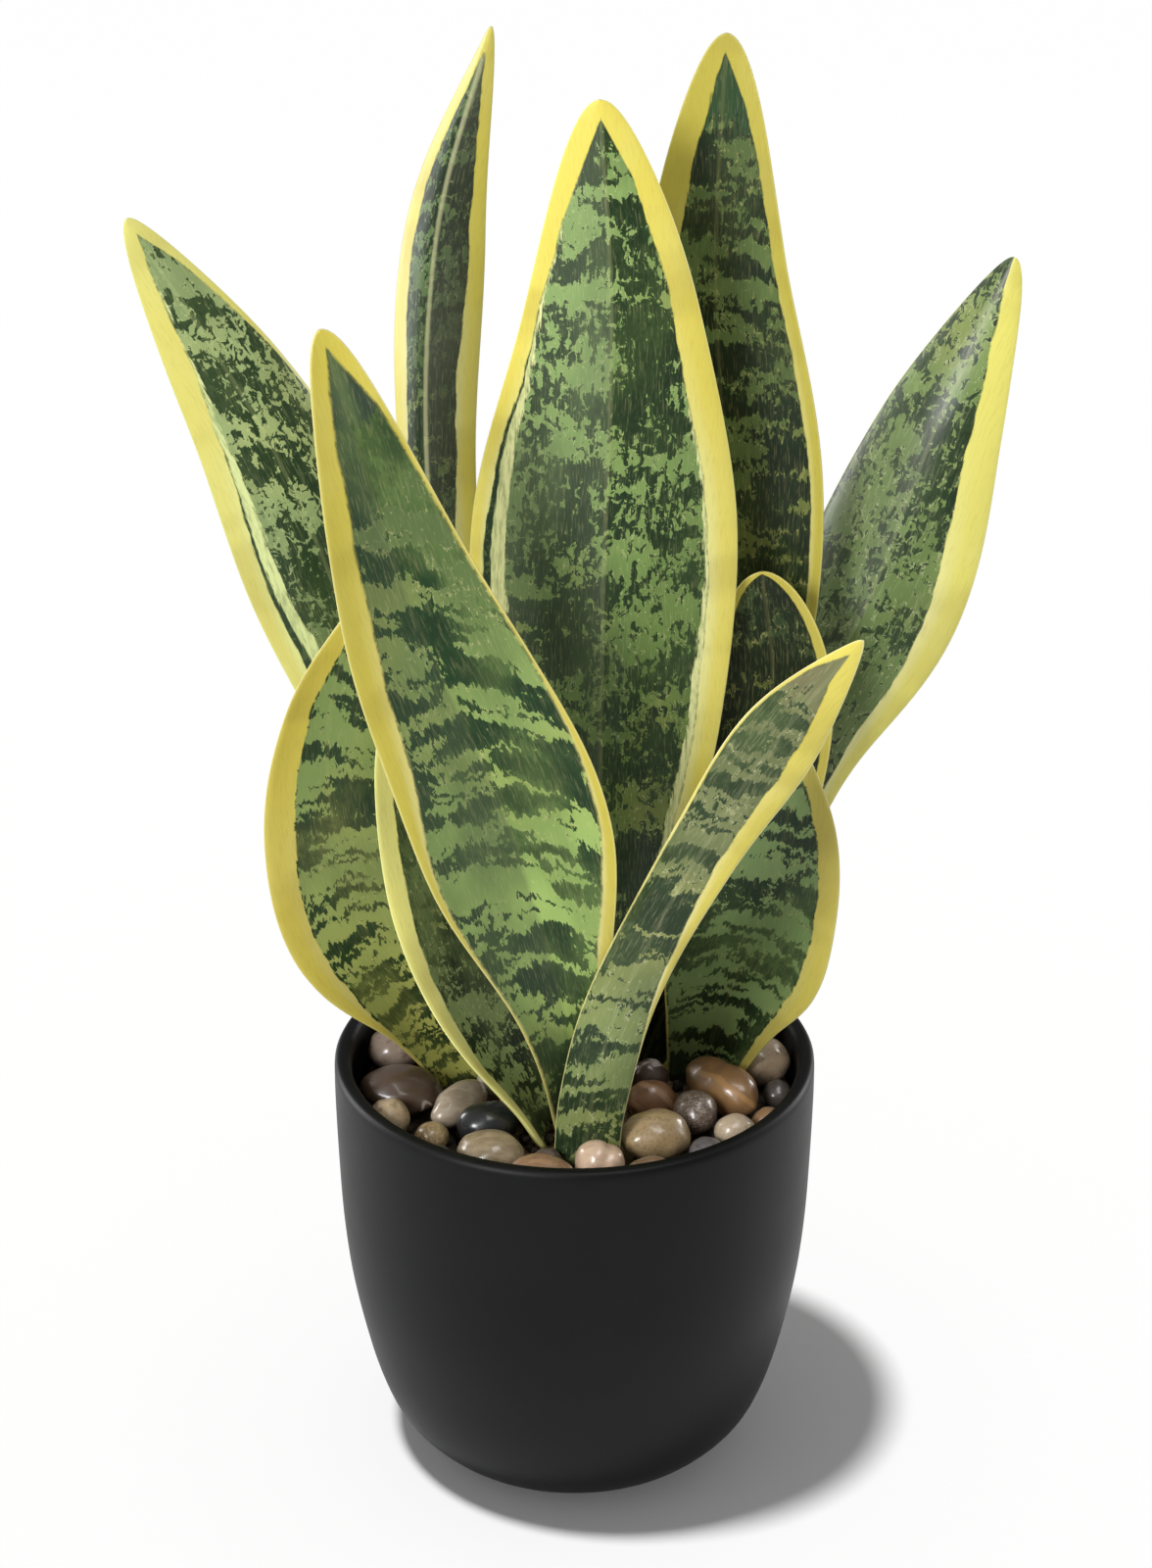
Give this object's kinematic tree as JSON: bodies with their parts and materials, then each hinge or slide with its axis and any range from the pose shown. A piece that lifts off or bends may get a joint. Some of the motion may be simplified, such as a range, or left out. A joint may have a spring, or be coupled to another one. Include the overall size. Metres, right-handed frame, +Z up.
{
  "type": "potted snake plant",
  "caption": "Potted snake plant: upright sword-shaped leaves with yellow margins rising from soil dressed with river pebbles, in a matte black round-bottomed tub.",
  "frame": {"origin": "centre of the pot's flat underside", "axes": "+Z up along the pot's axis, -Y towards the plant's front"},
  "size_m": [0.2225, 0.127, 0.373],
  "materials": {
    "pot": "matte",
    "soil": "matte",
    "rhizome": "satin",
    "leaf": "satin",
    "pebble_dark": "polished",
    "pebble_brown": "polished",
    "pebble_pale": "polished"
  },
  "bodies": {
    "root": {"pot": "pot", "potting_soil": "soil", "rhizome": "rhizome", "leaf_center_broad": "leaf", "leaf_front_broad": "leaf", "leaf_front_left": "leaf", "leaf_front_small": "leaf", "leaf_left_low": "leaf", "leaf_left_outer": "leaf", "leaf_left_thin": "leaf", "leaf_right_low": "leaf", "leaf_right_middle": "leaf", "leaf_right_outer": "leaf", "leaf_right_tall": "leaf", "pebble_01": "pebble_brown", "pebble_02": "pebble_dark", "pebble_03": "pebble_pale", "pebble_04": "pebble_pale", "pebble_05": "pebble_dark", "pebble_06": "pebble_brown", "pebble_07": "pebble_pale", "pebble_08": "pebble_brown", "pebble_09": "pebble_pale", "pebble_10": "pebble_dark", "pebble_11": "pebble_pale", "pebble_12": "pebble_pale", "pebble_13": "pebble_brown", "pebble_14": "pebble_dark", "pebble_15": "pebble_brown", "pebble_16": "pebble_pale", "pebble_17": "pebble_dark", "pebble_18": "pebble_brown", "pebble_19": "pebble_dark", "pebble_20": "pebble_dark", "pebble_21": "pebble_pale", "pebble_22": "pebble_pale", "pebble_23": "pebble_pale", "pebble_24": "pebble_pale", "pebble_25": "pebble_brown", "pebble_26": "pebble_brown", "pebble_27": "pebble_brown", "pebble_28": "pebble_dark", "pebble_29": "pebble_pale", "pebble_30": "pebble_brown", "pebble_31": "pebble_brown", "pebble_32": "pebble_brown", "pebble_33": "pebble_brown", "pebble_34": "pebble_brown", "pebble_35": "pebble_dark", "pebble_36": "pebble_dark", "pebble_37": "pebble_dark", "pebble_38": "pebble_brown", "pebble_39": "pebble_dark", "pebble_40": "pebble_dark", "pebble_41": "pebble_brown", "pebble_42": "pebble_pale", "pebble_43": "pebble_brown", "pebble_44": "pebble_dark", "pebble_45": "pebble_dark"}
  },
  "joints": []
}
